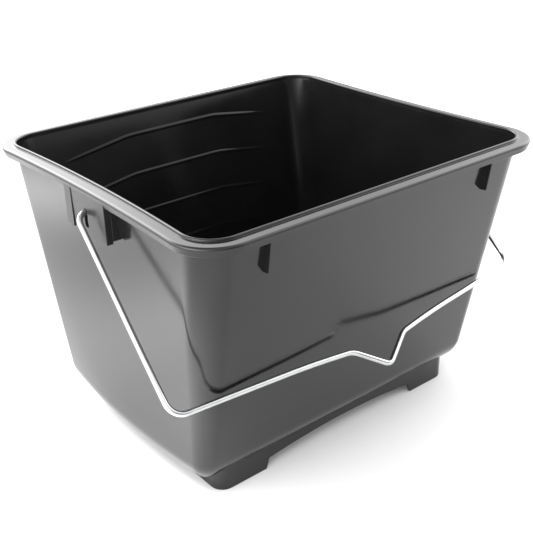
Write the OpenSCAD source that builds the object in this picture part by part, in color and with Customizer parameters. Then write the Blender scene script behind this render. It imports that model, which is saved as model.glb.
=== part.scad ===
// Rectangular tapered plastic bucket with a wire bail.
// One moulding (walls, rim, base ring, bail ears, stacking ribs, roll-off ridges)
// and one bent steel wire that swings in the two ears.
// Millimetres, +Z up. Origin: centre of the footprint, on the floor.
// +X runs along the long front wall, and the front wall faces -Y.

/* [Overall] */
// height from the feet to the top of the rim bead
height = 239; // [215:1:265]
// inside length of the mouth, along X
mouth_l = 324.5; // [300:0.5:350]
// inside width of the mouth, along Y
mouth_w = 284.5; // [262:0.5:305]
// wall and floor thickness
wall = 2.5; // [2:0.1:3]

/* [Walls] */
// inward lean of each short end wall, millimetres per millimetre of depth
lean_end = 0.0765; // [0.06:0.0005:0.09]
// inward lean of each long wall, millimetres per millimetre of depth
lean_side = 0.188; // [0.17:0.001:0.2]
// inside corner radius at the mouth
corner_mouth = 24.5; // [20:0.5:28]
// outside corner radius at the floor
corner_floor = 12; // [9:0.5:18]
// how far the end walls are drawn in at mid-width, at the rim
rim_bow = 6; // [3:0.5:8]
// how far the end walls belly out at mid-width, at the floor
floor_belly = 8.5; // [5:0.5:10]
// outside radius between wall and floor
floor_radius = 25.5; // [20:0.5:28]
// height of the floor's underside above the ground
floor_lift = 10.75; // [9.5:0.25:12]

/* [Rim] */
// width of the raised bead round the mouth
bead_w = 3; // [2.4:0.1:3.6]
// height of the bead above the flange
bead_h = 1.8; // [1.2:0.1:2.2]
// thickness of the flat flange
flange_t = 2.2; // [2:0.1:2.5]
// reach of the flange from the mouth
flange_w = 12.75; // [12:0.25:14]
// height of the down-turned skirt below the flange
skirt_h = 5; // [4:0.25:6]
// thickness of the skirt
skirt_t = 1.9; // [1.6:0.1:2.1]

/* [Base ring] */
// length of the base ring, along X
ring_l = 263.5; // [255:0.5:268]
// width of the base ring, along Y
ring_w = 200; // [195:0.5:202]
// outside corner radius of the base ring
ring_corner = 12; // [9:0.5:16]
// thickness of the base ring
ring_t = 2.5; // [2:0.1:3]
// gap between the feet on the long sides, at the ground
foot_gap_l = 169; // [155:1:180]
// gap between the feet on the ends, at the ground
foot_gap_w = 108; // [95:1:118]
// height of the arch between the feet, at its middle
arch_h = 14.4; // [12.5:0.1:15]
// drop of the arch from its middle to its ends
arch_drop = 4.9; // [3:0.1:6]

/* [Bail ears] */
// distance between the outer faces of the ears
ear_span = 337; // [335.5:0.5:337.5]
// width of an ear, along Y
ear_w = 59; // [54:1:62]
// depth of the ear's lower edge below the rim's top
ear_drop = 38; // [36:0.5:41]
// thickness of the ear's plates
ear_t = 2.4; // [2:0.1:2.6]
// width of each raised side rib on the ear's face
ear_rib_w = 10; // [8:0.5:11]
// how deep the ear's middle panel is set back at its lower edge
ear_recess = 1; // [0.8:0.1:1.5]
// how far the ear's side plates are cut up behind the front, at their lower edge
ear_step = 1.8; // [1:0.2:3]
// distance of that step from the ear's outer face
ear_step_in = 5.5; // [5:0.5:7]
// width of the upright slot for the wire
slot_w = 5.2; // [4.8:0.1:6]
// distance between the slot's end centres
slot_drop = 10; // [7:0.5:11]

/* [Stacking ribs] */
// distance of each stacking rib from the middle of the wall
rib_x = 112; // [100:1:118]
// thickness of a stacking rib
rib_t = 3; // [2.4:0.1:3.6]
// how far a stacking rib's top stands out from the rim's mouth line
rib_out = 7.5; // [6:0.25:9]
// depth of the rib's lower end below the rim's top
rib_drop = 35.5; // [32:0.5:42]
// how far the rib's lower end stands out from the wall
rib_low_out = 6.25; // [4:0.25:7]
// fall of the rib's lower edge towards the wall, millimetres per millimetre
rib_slope = 0.14; // [0:0.01:0.3]

/* [Roll-off ridges] */
// depth of the first ridge below the rim's top
ridge_first = 21.5; // [19:0.5:26]
// spacing of the ridges
ridge_pitch = 35.5; // [32:0.5:38]
// half length of the level middle of a ridge
ridge_mid = 48; // [40:1:56]
// half length of a whole ridge
ridge_half = 122; // [112:1:124]
// fall of a ridge's outer parts, degrees
ridge_fall = 8.6; // [6:0.2:10]
// how far a ridge stands out from the wall
ridge_out = 1.2; // [0.8:0.1:2]
// height of a ridge on the wall
ridge_h = 3.2; // [2.4:0.1:4]

/* [Bail wire] */
// wire diameter
wire_d = 4.4; // [4:0.1:4.5]
// depth of the hinge line below the rim's top
hinge_drop = 20.6; // [20:0.1:21]
// lean of the resting bail away from straight down, degrees
rest_angle = 48.2; // [48:0.2:52]
// half width of the bail at its upper bends
bail_top = 175.4; // [175:0.2:178]
// radius of the bail's upper bends, at the wire's centre
bail_bend = 9; // [7:0.5:10]
// half width of the bail at its lower corners
bail_low = 182.4; // [181:0.2:188]
// length of the bail's arms
bail_arm = 165; // [164.5:0.5:170]
// radius of the bail's lower corners, at the wire's centre
bail_corner = 12.2; // [10:0.2:18]
// how far the bail's lower runs arch towards the hinge line
run_bow = 1.5; // [0.5:0.1:2]
// left shoulder of the hook notch from the middle
notch_left = 21.8; // [20:0.2:30]
// right shoulder of the hook notch from the middle
notch_right = 33.8; // [28:0.2:38]
// distance of the notch's point right of the middle
notch_mid = 4.8; // [0:0.2:6]
// distance of the notch's shoulders beyond the arms' ends
notch_start = 13; // [11:0.5:14]
// how much farther the right shoulder lies than the left one, halved
notch_skew = 1.3; // [0:0.1:1.5]
// distance of the notch's point beyond the arms' ends
notch_tip = 33.6; // [30:0.2:38]
// radius of the left shoulder's bend
bend_left = 18; // [10:1:22]
// radius of the right shoulder's bend
bend_right = 18; // [8:1:19]
// radius of the bend at the notch's point
bend_tip = 6.5; // [4:0.5:7]
// radius of the gentle arch in each lower run
run_radius = 900; // [200:50:900]
// length of the hook inside each ear
hook_len = 7.5; // [6.5:0.5:8]

/* [Hidden] */
$fn = 48;
corner_steps = 8;
side_steps = 10;
wall_steps = 5;
fillet_steps = 7;
rim_z = height - bead_h - flange_t;
hinge_z = height - hinge_drop;
skirt_z = rim_z - skirt_h;
skirt_in = flange_w - 1 - skirt_t;
half_l = mouth_l / 2;
half_w = mouth_w / 2;
wall_depth = rim_z - floor_lift;
lean_angle = atan(lean_side);
ear_x = ear_span / 2;
ear_z = height - ear_drop;
hook_x = ear_x - ear_t - ear_recess - 0.8 - wire_d / 2;

// ---- outlines ----

// bow of an end wall at a height: drawn in at the rim, bellied out at the floor
function bow_at(z) = rim_bow + (-floor_belly - rim_bow) * (rim_z - z) / wall_depth;

// outside corner radius at a height
function corner_at(z) = corner_mouth + wall
    + (corner_floor - corner_mouth - wall) * (rim_z - z) / wall_depth;

// pull a point of an end wall in or out by the bow, nothing at the corners' long-wall ends
function bowed(p, hx, hy, bow) =
    [p.x - sign(p.x) * bow * (1 - pow(p.y / hy, 2)) * pow(abs(p.x) / hx, 6), p.y];

// rounded rectangle as points, counterclockwise from the +X -Y corner, with bowed ends
function outline(hx, hy, r, bow) =
    let (
        centres = [[hx - r, -hy + r], [hx - r, hy - r], [-hx + r, hy - r], [-hx + r, -hy + r]],
        raw = [
            for (c = [0 : 3])
                let (mid = centres[c], next = centres[(c + 1) % 4], turn = 90 * c)
                each concat(
                    [for (k = [0 : corner_steps])
                        let (a = turn - 90 + 90 * k / corner_steps)
                        [mid.x + r * cos(a), mid.y + r * sin(a)]],
                    c % 2 == 1 ? [] : [for (k = [1 : side_steps - 1])
                        let (f = k / side_steps,
                             p = [mid.x + r * cos(turn), mid.y + r * sin(turn)],
                             q = [next.x + r * cos(turn), next.y + r * sin(turn)])
                        p + (q - p) * f]
                )
        ]
    )
    [for (p = raw) bowed(p, hx, hy, bow)];

// outline of the bucket's wall at height z, moved in by inset
function wall_ring(z, inset) =
    let (d = rim_z - z, r = max(corner_at(z) - inset, 1.2))
    [for (p = outline(half_l + wall - lean_end * d - inset, half_w + wall - lean_side * d - inset,
                      r, bow_at(z))) [p.x, p.y, z]];

// rings of a skin from the rim down: straight wall, then the rounded turn into the floor
function skin(inset, floor_z, radius) = concat(
    [for (k = [0 : wall_steps])
        wall_ring(rim_z + (floor_z + radius - rim_z) * k / wall_steps, inset)],
    [for (k = [1 : fillet_steps])
        let (a = 84 * k / fillet_steps, z = floor_z + radius * (1 - sin(a) / sin(84)))
        wall_ring(z, inset + radius * (1 - cos(a)))]
);

// triangles that join ring a to ring b, each of n points, where a lies above b
function band(a, b, n) = [
    for (k = [0 : n - 1])
        let (m = (k + 1) % n)
        each [[a * n + k, a * n + m, b * n + m], [a * n + k, b * n + m, b * n + k]]
];

// flat cap over ring i; up is true when it faces up
function cap(i, n, up) = [up ? [for (k = [n - 1 : -1 : 0]) i * n + k] : [for (k = [0 : n - 1]) i * n + k]];

// the walls' outside as a closed solid, used to trim what stands on it
module outer_skin() {
    rings = skin(0, floor_lift, floor_radius);
    n = len(rings[0]);
    last = len(rings) - 1;
    polyhedron(
        points = [for (r = rings) each r],
        faces = concat(cap(0, n, true), [for (i = [0 : last - 1]) each band(i, i + 1, n)],
                       cap(last, n, false)),
        convexity = 4
    );
}

// ---- the moulding ----

module bucket_shell() {
    out = skin(0, floor_lift, floor_radius);
    inn = skin(wall, floor_lift + wall, floor_radius - wall);
    rings = concat(out, [for (i = [len(inn) - 1 : -1 : 0]) inn[i]]);
    n = len(rings[0]);
    turn = len(out) - 1;
    last = len(rings) - 1;
    color([0.04, 0.04, 0.045])
    polyhedron(
        points = [for (r = rings) each r],
        faces = concat(
            [for (i = [0 : turn - 1]) each band(i, i + 1, n)],
            cap(turn, n, false),
            cap(turn + 1, n, true),
            [for (i = [turn + 1 : last - 1]) each band(i, i + 1, n)],
            band(last, 0, n)
        ),
        convexity = 8
    );
}

// bead, flange and down-turned skirt: one closed section carried round the mouth
module rim_flange() {
    top = rim_z + flange_t;
    section = [
        [0, rim_z], [0, height - 0.9], [0.35, height - 0.25], [1, height], [bead_w - 1, height],
        [bead_w - 0.35, height - 0.25], [bead_w, height - 0.9], [bead_w + 0.3, top],
        [flange_w - 2, top], [flange_w - 0.7, top - 0.5], [flange_w, top - 1.6],
        [flange_w - 1, skirt_z + 0.5], [flange_w - 1.4, skirt_z],
        [skirt_in, skirt_z], [skirt_in, rim_z]
    ];
    rings = [for (s = section)
        [for (p = outline(half_l + s.x, half_w + s.x, corner_mouth + s.x, rim_bow)) [p.x, p.y, s.y]]];
    n = len(rings[0]);
    m = len(section);
    color([0.04, 0.04, 0.045])
    polyhedron(
        points = [for (r = rings) each r],
        faces = [for (i = [0 : m - 1]) each band((i + 1) % m, i, n)],
        convexity = 8
    );
}

module rounded_plan(l, w, r) {
    for (sx = [-1, 1])
        for (sy = [-1, 1])
            translate([sx * (l / 2 - r), sy * (w / 2 - r)])
                circle(r = r);
    square([l - 2 * r, w], center = true);
    square([l, w - 2 * r], center = true);
}

// opening between two feet: slightly splayed ends and an arched top
module foot_gap(gap, rise, drop, through) {
    steps = 16;
    half = gap / 2 - 3;
    arc = [for (k = [0 : steps])
        let (f = 1 - 2 * k / steps)
        [half * f, rise - drop * f * f]];
    rotate([90, 0, 0])
        linear_extrude(height = through, center = true)
            polygon(concat([[-gap / 2 - 0.4, -1], [gap / 2 + 0.4, -1]], arc));
}

module base_ring() {
    color([0.04, 0.04, 0.045])
    difference() {
        linear_extrude(height = floor_lift + floor_radius - 2)
            difference() {
                rounded_plan(ring_l, ring_w, ring_corner);
                rounded_plan(ring_l - 2 * ring_t, ring_w - 2 * ring_t, ring_corner - ring_t);
            }
        outer_skin();
        foot_gap(foot_gap_l, arch_h, arch_drop, ring_w + 20);
        rotate(90)
            foot_gap(foot_gap_w, arch_h - 4.9, arch_drop - 1, ring_l + 20);
    }
}

// upright slot with round ends, cut along X
module wire_slot() {
    for (dz = [0, -slot_drop])
        translate([ear_x - 12, 0, hinge_z + dz])
            rotate([0, 90, 0])
                cylinder(d = slot_w, h = 16);
    translate([ear_x - 12, -slot_w / 2, hinge_z - slot_drop])
        cube([16, slot_w, slot_drop]);
}

// bail ear on the +X end: a box open below, with a set-back middle panel and an upright slot
module ear() {
    h = skirt_z - ear_z;
    panel_w = ear_w - 2 * ear_rib_w;
    difference() {
        translate([half_l - rim_bow - 6, -ear_w / 2, ear_z])
            cube([ear_x - half_l + rim_bow + 6, ear_w, h]);
        translate([half_l - rim_bow - 8, -ear_w / 2 + ear_t, ear_z - 1])
            cube([ear_x - ear_t - ear_recess - half_l + rim_bow + 8, ear_w - 2 * ear_t, h + 2]);
        rotate([90, 0, 0])
            linear_extrude(height = panel_w, center = true)
                polygon([[ear_x + 1, skirt_z + 0.01], [ear_x, skirt_z + 0.01],
                         [ear_x - ear_recess, ear_z - 0.01], [ear_x + 1, ear_z - 0.01]]);
        translate([half_l - rim_bow - 8, -ear_w / 2 - 1, ear_z - 1])
            cube([ear_x - ear_step_in - half_l + rim_bow + 8, ear_w + 2, ear_step + 1]);
        wire_slot();
        outer_skin();
    }
}

module ear_right() {
    color([0.04, 0.04, 0.045]) ear();
}

module ear_left() {
    color([0.04, 0.04, 0.045]) rotate(180) ear();
}

// thin gussets under the rim that keep stacked buckets from wedging together
module stacking_ribs() {
    low = height - rib_drop;
    y_top = half_w + rib_out;
    y_low = half_w + wall - lean_side * (rim_z - low) + rib_low_out;
    y_in = half_w - 16;
    color([0.04, 0.04, 0.045])
    for (side = [0, 180])
        for (sx = [-1, 1])
            rotate(side)
                translate([sx * rib_x, 0, 0])
                    difference() {
                        rotate([90, 0, -90])
                            linear_extrude(height = rib_t, center = true)
                                polygon([[half_w - 8, rim_z], [y_top, rim_z], [y_low, low],
                                         [y_in, low - rib_slope * (y_low - y_in)]]);
                        outer_skin();
                    }
}

// one level bar with a bevelled face, from x0 to x1 on the wall's plane, its foot at height zc
module ridge_bar(x0, x1) {
    b = 0.5;
    translate([x0, 0, 0])
        rotate([90, 0, 90])
            linear_extrude(height = x1 - x0)
                polygon([[0, ridge_h / 2], [0, -ridge_h / 2], [-ridge_out + b, -ridge_h / 2],
                         [-ridge_out, -ridge_h / 2 + b], [-ridge_out, ridge_h / 2 - b],
                         [-ridge_out + b, ridge_h / 2]]);
}

// ridges across the inside of the back wall: level in the middle, falling towards both sides
module rolloff_ridges() {
    reach = (ridge_half - ridge_mid) / cos(ridge_fall);
    color([0.04, 0.04, 0.045])
    translate([0, half_w, rim_z])
        rotate([-lean_angle, 0, 0])
            for (i = [0 : 3])
                translate([0, 0, -(ridge_first - bead_h - flange_t + ridge_pitch * i) / cos(lean_angle)]) {
                    ridge_bar(-ridge_mid, ridge_mid);
                    translate([ridge_mid, 0, 0])
                        rotate([0, ridge_fall, 0])
                            ridge_bar(-0.3, reach);
                    translate([-ridge_mid, 0, 0])
                        rotate([0, -ridge_fall, 0])
                            ridge_bar(-reach, 0.3);
                }
}

// ---- the bail ----

// length that a bend of radius r takes from each leg at corner q between p and s
function bend_cut(p, q, s, r) =
    let (u = (p - q) / norm(p - q), v = (s - q) / norm(s - q))
    r / tan(acos(u * v) / 2);

// points of the bend at corner q, each as [x, z, tangent x, tangent z]
function bend_points(p, q, s, r) =
    let (
        u = (q - p) / norm(q - p),
        v = (s - q) / norm(s - q),
        side = sign(u.x * v.y - u.y * v.x),
        turn = acos(u * v),
        steps = max(3, ceil(turn / 9)),
        from = q - u * bend_cut(p, q, s, r),
        c = from + side * r * [-u.y, u.x]
    )
    [for (k = [0 : steps])
        let (a = side * turn * k / steps,
             t = [u.x * cos(a) - u.y * sin(a), u.x * sin(a) + u.y * cos(a)],
             o = c + side * r * [t.y, -t.x])
        [o.x, o.y, t.x, t.y]];

// round wire along a polyline in the XZ plane, bent to radii[i] at each inner point
module wire_path(pts, radii) {
    last = len(pts) - 1;
    first_t = (pts[1] - pts[0]) / norm(pts[1] - pts[0]);
    last_t = (pts[last] - pts[last - 1]) / norm(pts[last] - pts[last - 1]);
    path = concat(
        [[pts[0].x, pts[0].y, first_t.x, first_t.y]],
        [for (i = [1 : last - 1]) each bend_points(pts[i - 1], pts[i], pts[i + 1], radii[i])],
        [[pts[last].x, pts[last].y, last_t.x, last_t.y]]
    );
    n = 20;
    m = len(path);
    r = wire_d / 2;
    polyhedron(
        points = [for (p = path)
            for (k = [0 : n - 1])
                let (a = 360 * k / n)
                [p[0] - r * cos(a) * p[3], r * sin(a), p[1] + r * cos(a) * p[2]]],
        faces = concat([for (i = [0 : m - 2]) each band(i, i + 1, n)],
                       cap(0, n, true), cap(m - 1, n, false)),
        convexity = 6
    );
}

module bail_wire() {
    near = notch_start - notch_skew;
    far = notch_start + notch_skew;
    part = 0.74;
    pts = [
        [-hook_x, -hook_len], [-hook_x, 0], [-bail_top, 0], [-bail_low, -bail_arm],
        [-bail_low + (bail_low - notch_left) * part, run_bow - bail_arm - near * part],
        [-notch_left, -bail_arm - near], [notch_mid, -bail_arm - notch_tip],
        [notch_right, -bail_arm - far],
        [bail_low - (bail_low - notch_right) * part, run_bow - bail_arm - far * part],
        [bail_low, -bail_arm], [bail_top, 0], [hook_x, 0], [hook_x, -hook_len]
    ];
    radii = [0, 3, bail_bend, bail_corner, run_radius, bend_left, bend_tip, bend_right, run_radius,
             bail_corner, bail_bend, 3, 0];
    color([0.78, 0.79, 0.8])
    translate([0, 0, hinge_z])
        rotate([-rest_angle, 0, 0])
            wire_path(pts, radii);
}

bucket_shell();
rim_flange();
base_ring();
ear_left();
ear_right();
stacking_ribs();
rolloff_ridges();
bail_wire();
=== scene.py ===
import math

import bmesh
import bpy
from mathutils import Matrix, Vector
from mathutils.bvhtree import BVHTree


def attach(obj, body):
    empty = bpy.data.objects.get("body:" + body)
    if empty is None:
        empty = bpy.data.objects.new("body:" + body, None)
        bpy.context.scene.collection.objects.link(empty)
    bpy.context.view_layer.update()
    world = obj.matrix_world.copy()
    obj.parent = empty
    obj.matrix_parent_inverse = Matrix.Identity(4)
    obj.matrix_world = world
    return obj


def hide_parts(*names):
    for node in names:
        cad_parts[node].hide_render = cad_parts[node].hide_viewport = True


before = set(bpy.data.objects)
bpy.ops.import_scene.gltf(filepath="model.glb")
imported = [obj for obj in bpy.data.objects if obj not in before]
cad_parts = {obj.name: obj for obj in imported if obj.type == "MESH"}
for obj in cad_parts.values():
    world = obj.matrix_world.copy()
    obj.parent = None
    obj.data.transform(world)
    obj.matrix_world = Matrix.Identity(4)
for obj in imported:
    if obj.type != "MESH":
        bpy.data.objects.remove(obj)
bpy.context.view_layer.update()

MM = 0.001

# ---- dimensions in millimetres: where the CAD model has them too, they are the same ----

# walls; a lean is millimetres inwards per millimetre of depth
HEIGHT = 239
HALF_L = 162.25
HALF_W = 142.25
WALL = 2.5
LEAN_END = 0.0765
LEAN_SIDE = 0.188
CORNER_MOUTH = 24.5
CORNER_FLOOR = 12
CORNER_LEAST = 1.2  # smallest corner radius on the way into the floor
RIM_BOW = 6
FLOOR_BELLY = 8.5
BOW_POWER = 6  # how fast the ends' bow fades along the long walls
FLOOR_RADIUS = 25.5
FLOOR_TURN = 84  # degrees of the turn from wall to floor
FLOOR_LIFT = 10.75

# rim
BEAD_W = 3
BEAD_H = 1.8
BEAD_LEAN = 0.4  # how far the bead's inner face leans outwards
BEAD_INNER_R = 0.95
BEAD_OUTER_R = 1.15
BEAD_FOOT_R = 0.5
FLANGE_T = 2.2
FLANGE_W = 12.75
FLANGE_R = 2.1
FLANGE_FLAT = 1.5  # strip at each edge of the flat that keeps it shading flat
SKIRT_H = 5
SKIRT_T = 1.9
SKIRT_INSET = 1.5  # of the skirt's lower edge
SKIRT_IN = FLANGE_W - 1 - SKIRT_T
SKIRT_OUTER_R = 0.5
SKIRT_INNER_R = 0.4
UNDER_RIM_R = 0.8
UNDER_RIM_IN = 4.2
EDGE_HOLD = 0.05  # distance of a straight face's last point from its rounding

# base ring
RING_L = 263.5
RING_W = 200
RING_CORNER = 12
RING_T = 2.5
RING_ROUND = 0.6
FOOT_GAP_L = 169
FOOT_GAP_W = 108
FOOT_SPLAY = 3  # width of a foot's sloping side
FOOT_HOLD = 1.2  # distance of an extra point beside a foot's edge
ARCH_H = 14.4
ARCH_DROP = 4.9
END_ARCH_H = ARCH_H - 4.9
END_ARCH_DROP = ARCH_DROP - 1

# ears
EAR_X = 168.5
EAR_W = 59
EAR_DROP = 38
EAR_T = 2.4
EAR_RIB_W = 10
EAR_RECESS = 1
EAR_RECESS_TOP = 0.4  # at the skirt's lower edge
EAR_STEP = 1.8
EAR_STEP_IN = 5.5
EAR_TUCK = 0.6  # how far the ears stop below the flange's top
EAR_OVERLAP = 0.3
EAR_ROUND = 0.45
SLOT_W = 5.2
SLOT_DROP = 10

# stacking ribs
RIB_X = 112
RIB_T = 3
RIB_OUT = 7.5
RIB_DROP = 35.5
RIB_LOW_OUT = 6.25
RIB_SLOPE = 0.14
RIB_TUCK = 0.4  # how far the ribs run up into the flange
RIB_ROUND = 0.35

# roll-off ridges: soft bumps here, plain bars in the CAD model
RIDGE_COUNT = 4
RIDGE_FIRST = 21.5
RIDGE_PITCH = 35.5
RIDGE_MID = 48
RIDGE_HALF = 122
RIDGE_FALL = math.radians(8.6)
RIDGE_SWELL = 0.7  # of the first ridge
RIDGE_LOSS = 0.09  # how much less each next ridge swells
RIDGE_WIDTH = 6
RIDGE_BEND = 4  # softness of the bend where the level middle ends
RIDGE_FADE = 62  # length over which a ridge's end fades out
RIDGE_SUNK = 0.12  # depth of its edges below the wall's face
RIDGE_BACK = 0.8  # depth of its back below the wall's face

# bail
WIRE_D = 4.4
WIRE_CHAMFER = 0.4
HINGE_DROP = 20.6
REST_ANGLE = math.radians(48.2)
BAIL_TOP = 175.4
BAIL_BEND = 9
BAIL_LOW = 182.4
BAIL_ARM = 165
BAIL_CORNER = 12.2
RUN_BOW = 1.5
RUN_SHARE = 0.74  # where along a lower run its arch peaks, from the corner
RUN_RADIUS = 900
NOTCH_LEFT = 21.8
NOTCH_RIGHT = 33.8
NOTCH_MID = 4.8
NOTCH_START = 13
NOTCH_SKEW = 1.3
NOTCH_TIP = 33.6
BEND_LEFT = 18
BEND_RIGHT = 18
BEND_TIP = 6.5
HOOK_LEN = 7.5
HOOK_BEND = 3
HOOK_GAP = 0.8

# pieces on the walls run into them by SINK; rays find the walls, at least BELOW_RIM under the rim,
# and start this far off the long walls, off the ears and below the feet
SINK = 0.9
BELOW_RIM = 0.5
OFF_WALL = 60
OFF_EAR = 30
OFF_FEET = 5

RIM_Z = HEIGHT - BEAD_H - FLANGE_T
FLANGE_TOP = RIM_Z + FLANGE_T
SKIRT_Z = RIM_Z - SKIRT_H
HINGE_Z = HEIGHT - HINGE_DROP
WALL_DEPTH = RIM_Z - FLOOR_LIFT
HOOK_X = EAR_X - EAR_T - EAR_RECESS - HOOK_GAP - WIRE_D / 2


# ---- materials ----

def node(tree, kind, **values):
    """A new node with its inputs or settings filled in."""
    n = tree.nodes.new(kind)
    for key, value in values.items():
        if key in n.inputs:
            n.inputs[key].default_value = value
        else:
            setattr(n, key, value)
    return n


def ramp(tree, source, low, high, out_low, out_high):
    """Map Range from source between low and high to out_low..out_high."""
    m = node(tree, "ShaderNodeMapRange")
    m.inputs["From Min"].default_value = low
    m.inputs["From Max"].default_value = high
    m.inputs["To Min"].default_value = out_low
    m.inputs["To Max"].default_value = out_high
    tree.links.new(source, m.inputs["Value"])
    return m.outputs["Result"]


def new_material(name):
    """A material with its tree, its shader and texture coordinates."""
    mat = bpy.data.materials.new(name)
    mat.use_nodes = True
    tree = mat.node_tree
    shader = tree.nodes["Principled BSDF"]
    coords = tree.nodes.new("ShaderNodeTexCoord")
    return mat, tree, shader, coords


def uneven(tree, shader, noise, dark, light, smooth, rough):
    """Colour and roughness that both drift with a noise."""
    mix = node(tree, "ShaderNodeMix", data_type="RGBA")
    mix.inputs["A"].default_value = (*dark, 1)
    mix.inputs["B"].default_value = (*light, 1)
    tree.links.new(ramp(tree, noise, 0.3, 0.7, 0.0, 1.0), mix.inputs["Factor"])
    tree.links.new(mix.outputs["Result"], shader.inputs["Base Color"])
    tree.links.new(ramp(tree, noise, 0.3, 0.7, smooth, rough), shader.inputs["Roughness"])


def black_plastic(name, smooth, rough):
    """Black moulded polypropylene: faint flow mottling, fine scuffs and a hint of orange peel."""
    mat, tree, shader, coords = new_material(name)
    shader.inputs["IOR"].default_value = 1.49
    mottle = node(tree, "ShaderNodeTexNoise", Scale=26.0, Detail=4.0, Roughness=0.55)
    fine = node(tree, "ShaderNodeTexNoise", Scale=900.0, Detail=2.0)
    peel = node(tree, "ShaderNodeTexNoise", Scale=70.0, Detail=1.0)
    for n in (mottle, fine, peel):
        tree.links.new(coords.outputs["Object"], n.inputs["Vector"])
    uneven(tree, shader, mottle.outputs["Fac"], (0.0060, 0.0060, 0.0062), (0.0085, 0.0085, 0.0088),
           smooth, rough)
    bump = node(tree, "ShaderNodeBump", Strength=0.04, Distance=0.0002)
    tree.links.new(fine.outputs["Fac"], bump.inputs["Height"])
    wave = node(tree, "ShaderNodeBump", Strength=0.05, Distance=0.0004)
    tree.links.new(peel.outputs["Fac"], wave.inputs["Height"])
    tree.links.new(bump.outputs["Normal"], wave.inputs["Normal"])
    tree.links.new(wave.outputs["Normal"], shader.inputs["Normal"])
    return mat


def bright_wire():
    """Bright drawn steel wire with a fine grain and a slightly uneven polish."""
    mat, tree, shader, coords = new_material("bright_steel_wire")
    shader.inputs["Metallic"].default_value = 1.0
    cloud = node(tree, "ShaderNodeTexNoise", Scale=120.0, Detail=3.0)
    grain = node(tree, "ShaderNodeTexNoise", Scale=2400.0, Detail=1.0)
    for n in (cloud, grain):
        tree.links.new(coords.outputs["Object"], n.inputs["Vector"])
    uneven(tree, shader, cloud.outputs["Fac"], (0.56, 0.57, 0.58), (0.64, 0.64, 0.64), 0.12, 0.2)
    bump = node(tree, "ShaderNodeBump", Strength=0.05, Distance=0.0001)
    tree.links.new(grain.outputs["Fac"], bump.inputs["Height"])
    tree.links.new(bump.outputs["Normal"], shader.inputs["Normal"])
    return mat


# the ears' faces are satin, the rest of the moulding is glossy
PLASTIC = black_plastic("black_polypropylene", 0.12, 0.17)
SATIN = black_plastic("black_polypropylene_satin", 0.32, 0.38)
STEEL = bright_wire()


# ---- mesh helpers; they take millimetres ----

def finished(mesh, material, body, sharp):
    """The piece made of mesh: smooth but for edges over sharp degrees, on its body."""
    mesh.shade_smooth()
    mesh.set_sharp_from_angle(angle=math.radians(sharp))
    mesh.materials.append(material)
    obj = bpy.data.objects.new(mesh.name, mesh)
    bpy.context.collection.objects.link(obj)
    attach(obj, body)
    return obj


def piece(name, verts, faces, material, body, sharp):
    """A closed piece from points in millimetres and faces."""
    mesh = bpy.data.meshes.new(name)
    mesh.from_pydata([Vector(v) * MM for v in verts], [], faces)
    bm = bmesh.new()
    bm.from_mesh(mesh)
    bmesh.ops.recalc_face_normals(bm, faces=bm.faces)
    bm.to_mesh(mesh)
    bm.free()
    return finished(mesh, material, body, sharp)


def grid_faces(rows, n, closed_rows=False):
    """Quads that join consecutive rings of n points; closed_rows joins the last to the first."""
    last = rows if closed_rows else rows - 1
    out = []
    for i in range(last):
        a, b = i * n, ((i + 1) % rows) * n
        for k in range(n):
            m = (k + 1) % n
            out.append((a + k, a + m, b + m, b + k))
    return out


def eased(count, edge):
    """Fractions from 0 to 1, with one extra close to each end so that flat walls shade flat."""
    inner = [edge + (1 - 2 * edge) * k / count for k in range(count + 1)]
    return [0.0] + inner + [1.0]


def outline(hx, hy, r, bow, corner_steps=20, side_steps=16, edge=0.012):
    """Rounded rectangle, counterclockwise from the +X -Y corner, whose two ends bow by bow."""
    centres = [(hx - r, -hy + r), (hx - r, hy - r), (-hx + r, hy - r), (-hx + r, -hy + r)]
    raw = []
    for c, (cx, cy) in enumerate(centres):
        for k in range(corner_steps + 1):
            a = math.radians(90 * c - 90 + 90 * k / corner_steps)
            raw.append((cx + r * math.cos(a), cy + r * math.sin(a)))
        nx, ny = centres[(c + 1) % 4]
        end = math.radians(90 * c)
        p = (cx + r * math.cos(end), cy + r * math.sin(end))
        q = (nx + r * math.cos(end), ny + r * math.sin(end))
        for f in eased(side_steps, edge)[1:-1]:
            raw.append((p[0] + (q[0] - p[0]) * f, p[1] + (q[1] - p[1]) * f))
    return [(x - math.copysign(1, x) * bow * (1 - (y / hy) ** 2) * (abs(x) / hx) ** BOW_POWER, y)
            for x, y in raw]


def wall_ring(z, inset):
    """The wall's outside at height z, moved in by inset."""
    d = RIM_Z - z
    f = d / WALL_DEPTH
    bow = RIM_BOW - (FLOOR_BELLY + RIM_BOW) * f
    r = CORNER_MOUTH + WALL + (CORNER_FLOOR - CORNER_MOUTH - WALL) * f - inset
    hx = HALF_L + WALL - LEAN_END * d - inset
    hy = HALF_W + WALL - LEAN_SIDE * d - inset
    return [(x, y, z) for x, y in outline(hx, hy, max(r, CORNER_LEAST), bow)]


def skin(inset, floor_z, radius, wall_steps=14, turn_steps=14):
    """Rings from the rim down the wall and round into the floor."""
    rings = [wall_ring(RIM_Z + (floor_z + radius - RIM_Z) * k / wall_steps, inset)
             for k in range(wall_steps + 1)]
    full = math.sin(math.radians(FLOOR_TURN))
    for k in range(1, turn_steps + 1):
        a = math.radians(FLOOR_TURN * k / turn_steps)
        z = floor_z + radius * (1 - math.sin(a) / full)
        rings.append(wall_ring(z, inset + radius * (1 - math.cos(a))))
    return rings


def arc(cx, cy, r, start, end, steps):
    """Points of an arc in a section, from start to end in degrees."""
    return [(cx + r * math.cos(math.radians(start + (end - start) * k / steps)),
             cy + r * math.sin(math.radians(start + (end - start) * k / steps)))
            for k in range(steps + 1)]


# ---- the moulding ----

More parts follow.
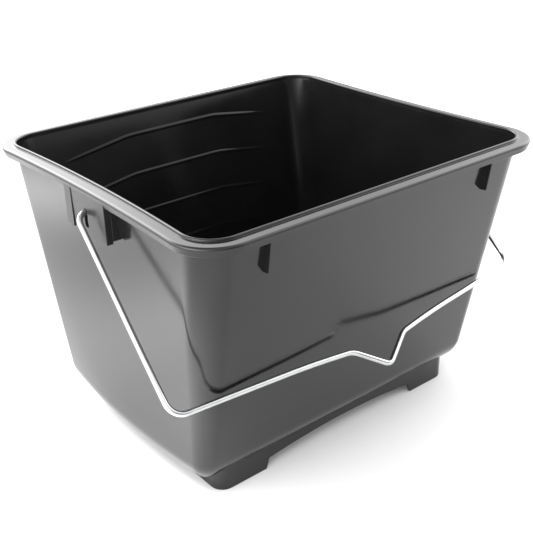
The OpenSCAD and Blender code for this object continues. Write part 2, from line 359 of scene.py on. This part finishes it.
def make_shell():
    """Walls and floor as one closed skin, outside and inside."""
    outer = skin(0, FLOOR_LIFT, FLOOR_RADIUS)
    inner = skin(WALL, FLOOR_LIFT + WALL, FLOOR_RADIUS - WALL)
    rings = outer + inner[::-1]
    n = len(rings[0])
    verts = [p for ring in rings for p in ring]
    turn = len(outer) - 1
    faces = [f for f in grid_faces(len(rings), n, True) if not (turn * n <= f[0] < (turn + 1) * n)]
    faces.append(tuple(range(turn * n, (turn + 1) * n)))
    faces.append(tuple(range((turn + 1) * n, (turn + 2) * n)))
    obj = piece("moulded_walls", verts, faces, PLASTIC, "bucket", 40)
    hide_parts("bucket_shell")
    return obj


def make_rim():
    """Bead, flange and down-turned skirt as one section carried round the mouth."""
    bead_z = HEIGHT - BEAD_OUTER_R
    section = (
        [(0, RIM_Z), (BEAD_LEAN, bead_z - EDGE_HOLD)]
        + arc(BEAD_LEAN + BEAD_INNER_R, bead_z, BEAD_INNER_R, 180, 90, 6)
        + arc(BEAD_W - BEAD_OUTER_R, bead_z, BEAD_OUTER_R, 90, 0, 6)
        + arc(BEAD_W + BEAD_FOOT_R, FLANGE_TOP + BEAD_FOOT_R, BEAD_FOOT_R, 180, 270, 4)
        + [(BEAD_W + FLANGE_FLAT, FLANGE_TOP), (FLANGE_W - FLANGE_R - FLANGE_FLAT, FLANGE_TOP)]
        + arc(FLANGE_W - FLANGE_R, FLANGE_TOP - FLANGE_R, FLANGE_R, 90, -12, 10)
        + [(FLANGE_W - SKIRT_INSET, SKIRT_Z + SKIRT_OUTER_R + 2 * EDGE_HOLD)]
        + arc(FLANGE_W - SKIRT_INSET - SKIRT_OUTER_R, SKIRT_Z + SKIRT_OUTER_R, SKIRT_OUTER_R, 0, -90, 4)
        + arc(SKIRT_IN + SKIRT_INNER_R, SKIRT_Z + SKIRT_INNER_R, SKIRT_INNER_R, -90, -180, 3)
        + arc(SKIRT_IN - UNDER_RIM_R, RIM_Z - UNDER_RIM_R, UNDER_RIM_R, 0, 90, 4)
        + [(UNDER_RIM_IN, RIM_Z)]
    )
    rings = [[(x, y, z) for x, y in outline(HALF_L + o, HALF_W + o, CORNER_MOUTH + o, RIM_BOW, 24, 20)]
             for o, z in section]
    n = len(rings[0])
    verts = [p for ring in rings for p in ring]
    obj = piece("moulded_rim", verts, grid_faces(len(rings), n, True), PLASTIC,
                "bucket", 42)
    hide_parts("rim_flange")


def tree_of(obj):
    """Search tree of a piece, for hit."""
    return BVHTree.FromPolygons([v.co for v in obj.data.vertices],
                                [tuple(p.vertices) for p in obj.data.polygons])


def hit(tree, start, direction):
    """Where a ray meets the walls' outside, in millimetres."""
    point = tree.ray_cast(Vector(start) * MM, Vector(direction).normalized())[0]
    return point / MM if point else None


def soften(obj, width, segments=3, angle=40):
    """Rounds the piece's hard edges, those over angle degrees, by width millimetres."""
    mod = obj.modifiers.new("soft_edges", "BEVEL")
    mod.width = width * MM
    mod.segments = segments
    mod.limit_method = "ANGLE"
    mod.angle_limit = math.radians(angle)
    mod.harden_normals = True


def foot_profile(s, gap, rise, drop):
    """Height of the base ring's lower edge at distance s from the middle of a side."""
    foot = gap / 2
    half = foot - FOOT_SPLAY
    if abs(s) >= foot:
        return 0.0
    if abs(s) >= half:
        return (rise - drop) * (foot - abs(s)) / (foot - half)
    return rise - drop * (s / half) ** 2


def ring_path():
    """Points round the base ring's outside: x, y, outward x, outward y, lower edge height."""
    hx, hy, r = RING_L / 2, RING_W / 2, RING_CORNER
    corner_steps, arch_steps = 10, 24
    out = []
    for turn in (0, 90, 180, 270):
        a = math.radians(turn)
        if turn % 180 == 0:
            far, half, gap, rise, drop = hx, hy, FOOT_GAP_W, END_ARCH_H, END_ARCH_DROP
        else:
            far, half, gap, rise, drop = hy, hx, FOOT_GAP_L, ARCH_H, ARCH_DROP
        c = (far - r, r - half)
        cx = c[0] * math.cos(a) - c[1] * math.sin(a)
        cy = c[0] * math.sin(a) + c[1] * math.cos(a)
        # the corner's own first and last points are those of the sides it joins
        for k in range(1, corner_steps):
            b = math.radians(turn - 90 * (corner_steps - k) / corner_steps)
            out.append((cx + r * math.cos(b), cy + r * math.sin(b), math.cos(b), math.sin(b), 0.0))
        foot = gap / 2
        stops = [r - half, -foot - FOOT_HOLD, -foot, FOOT_SPLAY - foot]
        middle = [(FOOT_SPLAY - foot) * (1 - 2 * k / arch_steps) for k in range(1, arch_steps)]
        for s in stops + middle + [-v for v in stops[::-1]]:
            x = far * math.cos(a) - s * math.sin(a)
            y = far * math.sin(a) + s * math.cos(a)
            out.append((x, y, math.cos(a), math.sin(a), foot_profile(s, gap, rise, drop)))
    return out


def make_base(skin_tree):
    """Base ring with four corner feet, arched between them; its top follows the walls."""
    path = ring_path()
    n = len(path)
    verts = []
    for inset in (0, RING_T):
        low, high = [], []
        for x, y, ox, oy, z in path:
            px, py = x - ox * inset, y - oy * inset
            top = hit(skin_tree, (px, py, -OFF_FEET), (0, 0, 1))
            low.append((px, py, z))
            high.append((px, py, top.z + SINK))
        verts += low + high
    faces = []
    for k in range(n):
        m = (k + 1) % n
        faces += [(k, m, n + m, n + k), (2 * n + k, 3 * n + k, 3 * n + m, 2 * n + m),
                  (k, 2 * n + k, 2 * n + m, m), (n + k, n + m, 3 * n + m, 3 * n + k)]
    obj = piece("moulded_base_ring", verts, faces, PLASTIC, "bucket", 35)
    soften(obj, RING_ROUND)
    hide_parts("base_ring")


def slot_loop(steps=16):
    """Outline of the upright slot as (y, z), counterclockwise seen from +X."""
    r = SLOT_W / 2
    low = arc(0, HINGE_Z - SLOT_DROP, r, 180, 360, steps)
    high = arc(0, HINGE_Z, r, 0, 180, steps)
    return low + high


def make_ear(skin_tree, turn, name, replaced):
    """Bail ear: box open below, set-back middle panel with the upright slot, raised side ribs.
    It is built on the +X end, then turned about Z."""
    z0, z1 = HEIGHT - EAR_DROP, FLANGE_TOP - EAR_TUCK
    half, mid = EAR_W / 2, EAR_W / 2 - EAR_RIB_W
    back = EAR_X - EAR_T - EAR_RECESS

    def face_x(z):
        down = max(0.0, min(1.0, (SKIRT_Z - z) / (SKIRT_Z - z0)))
        return EAR_X - EAR_RECESS_TOP - (EAR_RECESS - EAR_RECESS_TOP) * down

    bm = bmesh.new()

    def v(x, y, z):
        return bm.verts.new(Vector((x, y, z)) * MM)

    # middle panel with its slot: rings between the slot and the panel's rectangle
    loop = slot_loop()
    zc = HINGE_Z - SLOT_DROP / 2
    outer = []
    for y, z in loop:
        dy, dz = y, z - zc
        scale = min(mid / abs(dy) if abs(dy) > 1e-6 else 1e9,
                    ((z1 - zc) if dz > 0 else (zc - z0)) / abs(dz) if abs(dz) > 1e-6 else 1e9)
        outer.append((dy * scale, zc + dz * scale))
    corners = [(-mid, z0), (mid, z0), (mid, z1), (-mid, z1)]
    for c in corners:
        i = min(range(len(outer)), key=lambda k: (outer[k][0] - c[0]) ** 2 + (outer[k][1] - c[1]) ** 2)
        outer[i] = c
    n = len(loop)
    front_in = [v(face_x(z), y, z) for y, z in loop]
    front_out = [v(face_x(z), y, z) for y, z in outer]
    back_in = [v(back, y, z) for y, z in loop]
    back_out = [v(back, y, z) for y, z in outer]
    for k in range(n):
        m = (k + 1) % n
        bm.faces.new((front_in[k], front_in[m], front_out[m], front_out[k]))
        bm.faces.new((back_in[k], back_out[k], back_out[m], back_in[m]))
        bm.faces.new((front_in[k], back_in[k], back_in[m], front_in[m]))
        bm.faces.new((front_out[k], front_out[m], back_out[m], back_out[k]))
    # side ribs, and their return plates to the bucket with the stepped lower edge
    step_x = EAR_X - EAR_STEP_IN
    steps = 6
    for sy in (-1, 1):
        rows, plate = [], []
        for k in range(steps + 1):
            z = z0 + (z1 - z0) * k / steps
            rows.append([v(x, sy * y, z) for x, y in ((back, mid), (EAR_X, mid), (EAR_X, half),
                                                      (step_x, half), (step_x, half - EAR_T),
                                                      (back, half - EAR_T))])
            z = z0 + EAR_STEP + (z1 - z0 - EAR_STEP) * k / steps
            row = []
            for y in (half, half - EAR_T):
                wall = hit(skin_tree, (EAR_X + OFF_EAR, sy * y, min(z, RIM_Z - BELOW_RIM)), (-1, 0, 0))
                row += [v(step_x + EAR_OVERLAP, sy * y, z), v(wall.x - SINK, sy * y, z)]
            plate.append([row[0], row[1], row[3], row[2]])
        for stack in (rows, plate):
            for a, b in zip(stack, stack[1:]):
                for k in range(len(a)):
                    m = (k + 1) % len(a)
                    bm.faces.new((a[k], a[m], b[m], b[k]))
            bm.faces.new(stack[0])
            bm.faces.new(stack[-1])
    bmesh.ops.recalc_face_normals(bm, faces=bm.faces)
    mesh = bpy.data.meshes.new(name)
    bm.to_mesh(mesh)
    bm.free()
    mesh.transform(Matrix.Rotation(turn, 4, "Z"))
    obj = finished(mesh, SATIN, "bucket", 30)
    soften(obj, EAR_ROUND)
    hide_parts(replaced)


def make_stacking_ribs(skin_tree):
    """Thin gussets between the rim and the walls, cut off nearly square at their lower ends."""
    top, low = RIM_Z + RIB_TUCK, HEIGHT - RIB_DROP
    y_top = HALF_W + RIB_OUT
    y_low = HALF_W + WALL - LEAN_SIDE * (RIM_Z - low) + RIB_LOW_OUT
    steps = 8
    for side, label in ((-1, "front"), (1, "back")):
        for sx, end in ((-1, "left"), (1, "right")):
            x0 = sx * RIB_X
            verts = []
            for k in range(steps + 1):
                f = k / steps
                z_out = top + (low - top) * f
                z_in = top + (low - RIB_SLOPE * RIB_LOW_OUT - top) * f
                start = (x0, side * (HALF_W + OFF_WALL), min(z_in, RIM_Z - BELOW_RIM))
                wall = hit(skin_tree, start, (0, -side, 0))
                y_out, y_in = side * (y_top + (y_low - y_top) * f), wall.y - side * SINK
                for x, y, z in ((-1, y_out, z_out), (1, y_out, z_out), (1, y_in, z_in), (-1, y_in, z_in)):
                    verts.append((x0 + x * RIB_T / 2, y, z))
            faces = grid_faces(steps + 1, 4)
            faces.append((0, 1, 2, 3))
            faces.append(tuple(4 * steps + k for k in range(4)))
            obj = piece(f"stacking_rib_{label}_{end}", verts, faces, PLASTIC,
                        "bucket", 35)
            soften(obj, RIB_ROUND)
    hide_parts("stacking_ribs")


def make_ridges():
    """Roll-off ridges: level in the middle, falling to both sides, soft in section and fading out."""
    lean = math.atan(LEAN_SIDE)
    steps, columns = 14, 96
    xs = [-RIDGE_HALF + 2 * RIDGE_HALF * k / columns for k in range(columns + 1)]

    def on_wall(x, out, up):
        """The point out behind the back wall's inner face and up along it from the rim."""
        return (x, HALF_W + out * math.cos(lean) + up * math.sin(lean),
                RIM_Z - out * math.sin(lean) + up * math.cos(lean))

    for i in range(RIDGE_COUNT):
        depth = (RIDGE_FIRST - BEAD_H - FLANGE_T + RIDGE_PITCH * i) / math.cos(lean)
        verts = []
        for x in xs:
            beyond = abs(x) - RIDGE_MID
            bend = (beyond + math.hypot(beyond, RIDGE_BEND)) / 2
            middle = -depth - math.tan(RIDGE_FALL) * bend
            along = min(1.0, (RIDGE_HALF - abs(x)) / RIDGE_FADE)
            swell = (RIDGE_SWELL - RIDGE_LOSS * i) * math.sin(math.pi / 2 * along)
            for k in range(steps + 1):
                across = 2 * k / steps - 1
                out = RIDGE_SUNK - swell * (1 + math.cos(math.pi * across)) / 2
                verts.append(on_wall(x, out, middle + across * RIDGE_WIDTH / 2))
            for across in (1, -1):
                verts.append(on_wall(x, RIDGE_BACK, middle + across * RIDGE_WIDTH / 2))
        n = steps + 3
        faces = grid_faces(len(xs), n)
        faces.append(tuple(range(n)))
        faces.append(tuple((len(xs) - 1) * n + k for k in range(n)))
        piece(f"rolloff_ridge_{i + 1}", verts, faces, PLASTIC,
                          "bucket", 60)
    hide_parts("rolloff_ridges")


# ---- the bail ----

def bent_path(points, radii):
    """Centre line through points in the bail's plane, rounded to radii: x, z, tangent x, tangent z."""
    out = []
    first = (Vector(points[1]) - Vector(points[0])).normalized()
    out.append((*points[0], *first))
    for i in range(1, len(points) - 1):
        p, q, s = Vector(points[i - 1]), Vector(points[i]), Vector(points[i + 1])
        u, w = (q - p).normalized(), (s - q).normalized()
        turn = u.angle(w)
        side = 1 if u.x * w.y - u.y * w.x > 0 else -1
        r = radii[i]
        start = q - u * r * math.tan(turn / 2)
        centre = start + side * r * Vector((-u.y, u.x))
        steps = max(8, math.ceil(math.degrees(turn) / 5))
        for k in range(steps + 1):
            a = side * turn * k / steps
            t = Vector((u.x * math.cos(a) - u.y * math.sin(a), u.x * math.sin(a) + u.y * math.cos(a)))
            o = centre + side * r * Vector((t.y, -t.x))
            out.append((o.x, o.y, t.x, t.y))
    last = (Vector(points[-1]) - Vector(points[-2])).normalized()
    out.append((*points[-1], *last))
    return out


def make_bail():
    """The bent wire, from hook to hook, leaned to its resting angle."""
    near, far = NOTCH_START - NOTCH_SKEW, NOTCH_START + NOTCH_SKEW
    left = BAIL_LOW - (BAIL_LOW - NOTCH_LEFT) * RUN_SHARE
    right = BAIL_LOW - (BAIL_LOW - NOTCH_RIGHT) * RUN_SHARE
    # corners in the bail's plane, and the radius of the bend at each
    corners = [
        (-HOOK_X, -HOOK_LEN, 0),
        (-HOOK_X, 0, HOOK_BEND),
        (-BAIL_TOP, 0, BAIL_BEND),
        (-BAIL_LOW, -BAIL_ARM, BAIL_CORNER),
        (-left, RUN_BOW - BAIL_ARM - near * RUN_SHARE, RUN_RADIUS),
        (-NOTCH_LEFT, -BAIL_ARM - near, BEND_LEFT),
        (NOTCH_MID, -BAIL_ARM - NOTCH_TIP, BEND_TIP),
        (NOTCH_RIGHT, -BAIL_ARM - far, BEND_RIGHT),
        (right, RUN_BOW - BAIL_ARM - far * RUN_SHARE, RUN_RADIUS),
        (BAIL_LOW, -BAIL_ARM, BAIL_CORNER),
        (BAIL_TOP, 0, BAIL_BEND),
        (HOOK_X, 0, HOOK_BEND),
        (HOOK_X, -HOOK_LEN, 0),
    ]
    path = bent_path([(x, z) for x, z, _ in corners], [r for _, _, r in corners])
    cos_rest, sin_rest = math.cos(-REST_ANGLE), math.sin(-REST_ANGLE)
    r = WIRE_D / 2
    n = 24
    verts = []

    def ring(p, radius, along):
        """Adds a ring of n points round the wire at p, moved along it by along."""
        x, z, tx, tz = p
        for k in range(n):
            a = 2 * math.pi * k / n
            px = x + tx * along - radius * math.cos(a) * tz
            py = radius * math.sin(a)
            pz = z + tz * along + radius * math.cos(a) * tx
            verts.append((px, py * cos_rest - pz * sin_rest, HINGE_Z + py * sin_rest + pz * cos_rest))

    ring(path[0], r - WIRE_CHAMFER, 0)
    ring(path[0], r, WIRE_CHAMFER)
    for p in path[1:-1]:
        ring(p, r, 0)
    ring(path[-1], r, -WIRE_CHAMFER)
    ring(path[-1], r - WIRE_CHAMFER, 0)
    rows = len(verts) // n
    faces = grid_faces(rows, n)
    faces.append(tuple(range(n)))
    faces.append(tuple((rows - 1) * n + k for k in range(n)))
    obj = piece("steel_bail", verts, faces, STEEL, "bail", 35)
    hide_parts("bail_wire")


shell = make_shell()
shell_tree = tree_of(shell)
make_rim()
make_base(shell_tree)
make_ear(shell_tree, 0, "moulded_ear_right", "ear_right")
make_ear(shell_tree, math.pi, "moulded_ear_left", "ear_left")
make_stacking_ribs(shell_tree)
make_ridges()
make_bail()


# ---- floor, light and camera ----

# azimuth and elevation in degrees, focus and strength of each soft light in the room
SOFTBOXES = [
    (0, 27, 20, 9.6),
    (20, 27, 20, 3.0),
    (60, 27, 20, 0.9),
    (90, 8, 7, 1.6),
    (90, 35, 7, 3.6),
    (135, 8, 7, 1.0),
    (180, 65, 7, 0.8),
    (225, 35, 7, 1.1),
    (270, 8, 7, 7.2),
    (270, 35, 7, 0.7),
    (325, 20, 10, 3.0),
]
# x, y in millimetres and power of each small lamp that lights the table beside the bucket
TABLE_LAMPS = [(-400, 560, 0.35), (-310, 130, 0.21), (-260, -60, 0.26), (-230, -170, 0.08)]
LAMP_Z = 260


def make_floor():
    """A white table that reaches far past the view, 20 metres each way."""
    reach = 20.0
    mesh = bpy.data.meshes.new("floor")
    corners = [(-reach, -reach, 0), (reach, -reach, 0), (reach, reach, 0), (-reach, reach, 0)]
    mesh.from_pydata(corners, [], [(0, 1, 2, 3)])
    mat, _, shader, _ = new_material("white_table")
    shader.inputs["Base Color"].default_value = (0.8, 0.8, 0.8, 1)
    shader.inputs["Roughness"].default_value = 0.9
    shader.inputs["Specular IOR Level"].default_value = 0.1
    mesh.materials.append(mat)
    obj = bpy.data.objects.new("floor", mesh)
    bpy.context.collection.objects.link(obj)


def softbox(tree, direction, azimuth, elevation, focus, strength):
    """A soft light in the world, brightest towards azimuth (clockwise from +Y) and elevation."""
    a, e = math.radians(azimuth), math.radians(elevation)
    facing = node(tree, "ShaderNodeVectorMath", operation="DOT_PRODUCT")
    facing.inputs[1].default_value = (math.sin(a) * math.cos(e), math.cos(a) * math.cos(e), math.sin(e))
    tree.links.new(direction, facing.inputs[0])
    falloff = node(tree, "ShaderNodeMath", operation="MULTIPLY_ADD")
    falloff.inputs[1].default_value = focus
    falloff.inputs[2].default_value = -focus
    tree.links.new(facing.outputs["Value"], falloff.inputs[0])
    glow = node(tree, "ShaderNodeMath", operation="EXPONENT")
    tree.links.new(falloff.outputs["Value"], glow.inputs[0])
    lamp = node(tree, "ShaderNodeMath", operation="MULTIPLY")
    lamp.inputs[1].default_value = strength
    tree.links.new(glow.outputs["Value"], lamp.inputs[0])
    return lamp.outputs["Value"]


def make_world():
    """A white room with soft lights; everything in it is colourless."""
    world = bpy.data.worlds.new("studio")
    world.use_nodes = True
    tree = world.node_tree
    coords = tree.nodes.new("ShaderNodeTexCoord")
    total = None
    for box in SOFTBOXES:
        light = softbox(tree, coords.outputs["Generated"], *box)
        if total is None:
            total = light
        else:
            add = node(tree, "ShaderNodeMath", operation="ADD")
            tree.links.new(total, add.inputs[0])
            tree.links.new(light, add.inputs[1])
            total = add.outputs["Value"]
    background = tree.nodes["Background"]
    background.inputs["Color"].default_value = (1, 1, 1, 1)
    tree.links.new(total, background.inputs["Strength"])
    bpy.context.scene.world = world


def make_table_lamps():
    """Small lamps over the table at the left; the end wall mirrors the table there."""
    for i, (x, y, power) in enumerate(TABLE_LAMPS):
        data = bpy.data.lights.new(f"table_lamp_{i + 1}", "AREA")
        data.shape = "DISK"
        data.size = 0.1
        data.spread = math.radians(75)
        data.energy = power
        lamp = bpy.data.objects.new(data.name, data)
        lamp.location = Vector((x, y, LAMP_Z)) * MM
        lamp.visible_camera = False
        lamp.visible_glossy = False
        bpy.context.collection.objects.link(lamp)


def make_camera():
    """Stands at the front left and looks down at the bucket."""
    yaw, pitch, roll = math.radians(38.374), math.radians(26.072), math.radians(-1.516)
    forward = Vector((math.sin(yaw) * math.cos(pitch), math.cos(yaw) * math.cos(pitch), -math.sin(pitch)))
    right = Vector((math.cos(yaw), -math.sin(yaw), 0))
    up = right.cross(forward)
    turned = right * math.cos(roll) + up * math.sin(roll)
    up = up * math.cos(roll) - right * math.sin(roll)
    data = bpy.data.cameras.new("camera")
    data.lens = 59.92
    data.sensor_width = 36
    data.clip_end = 50
    cam = bpy.data.objects.new("camera", data)
    m = Matrix((turned, up, -forward)).transposed().to_4x4()
    m.translation = Vector((-438.43, -553.49, HEIGHT + 225.6)) * MM
    cam.matrix_world = m
    bpy.context.collection.objects.link(cam)
    bpy.context.scene.camera = cam


make_floor()
make_world()
make_table_lamps()
make_camera()
bpy.context.scene.view_settings.view_transform = "Standard"
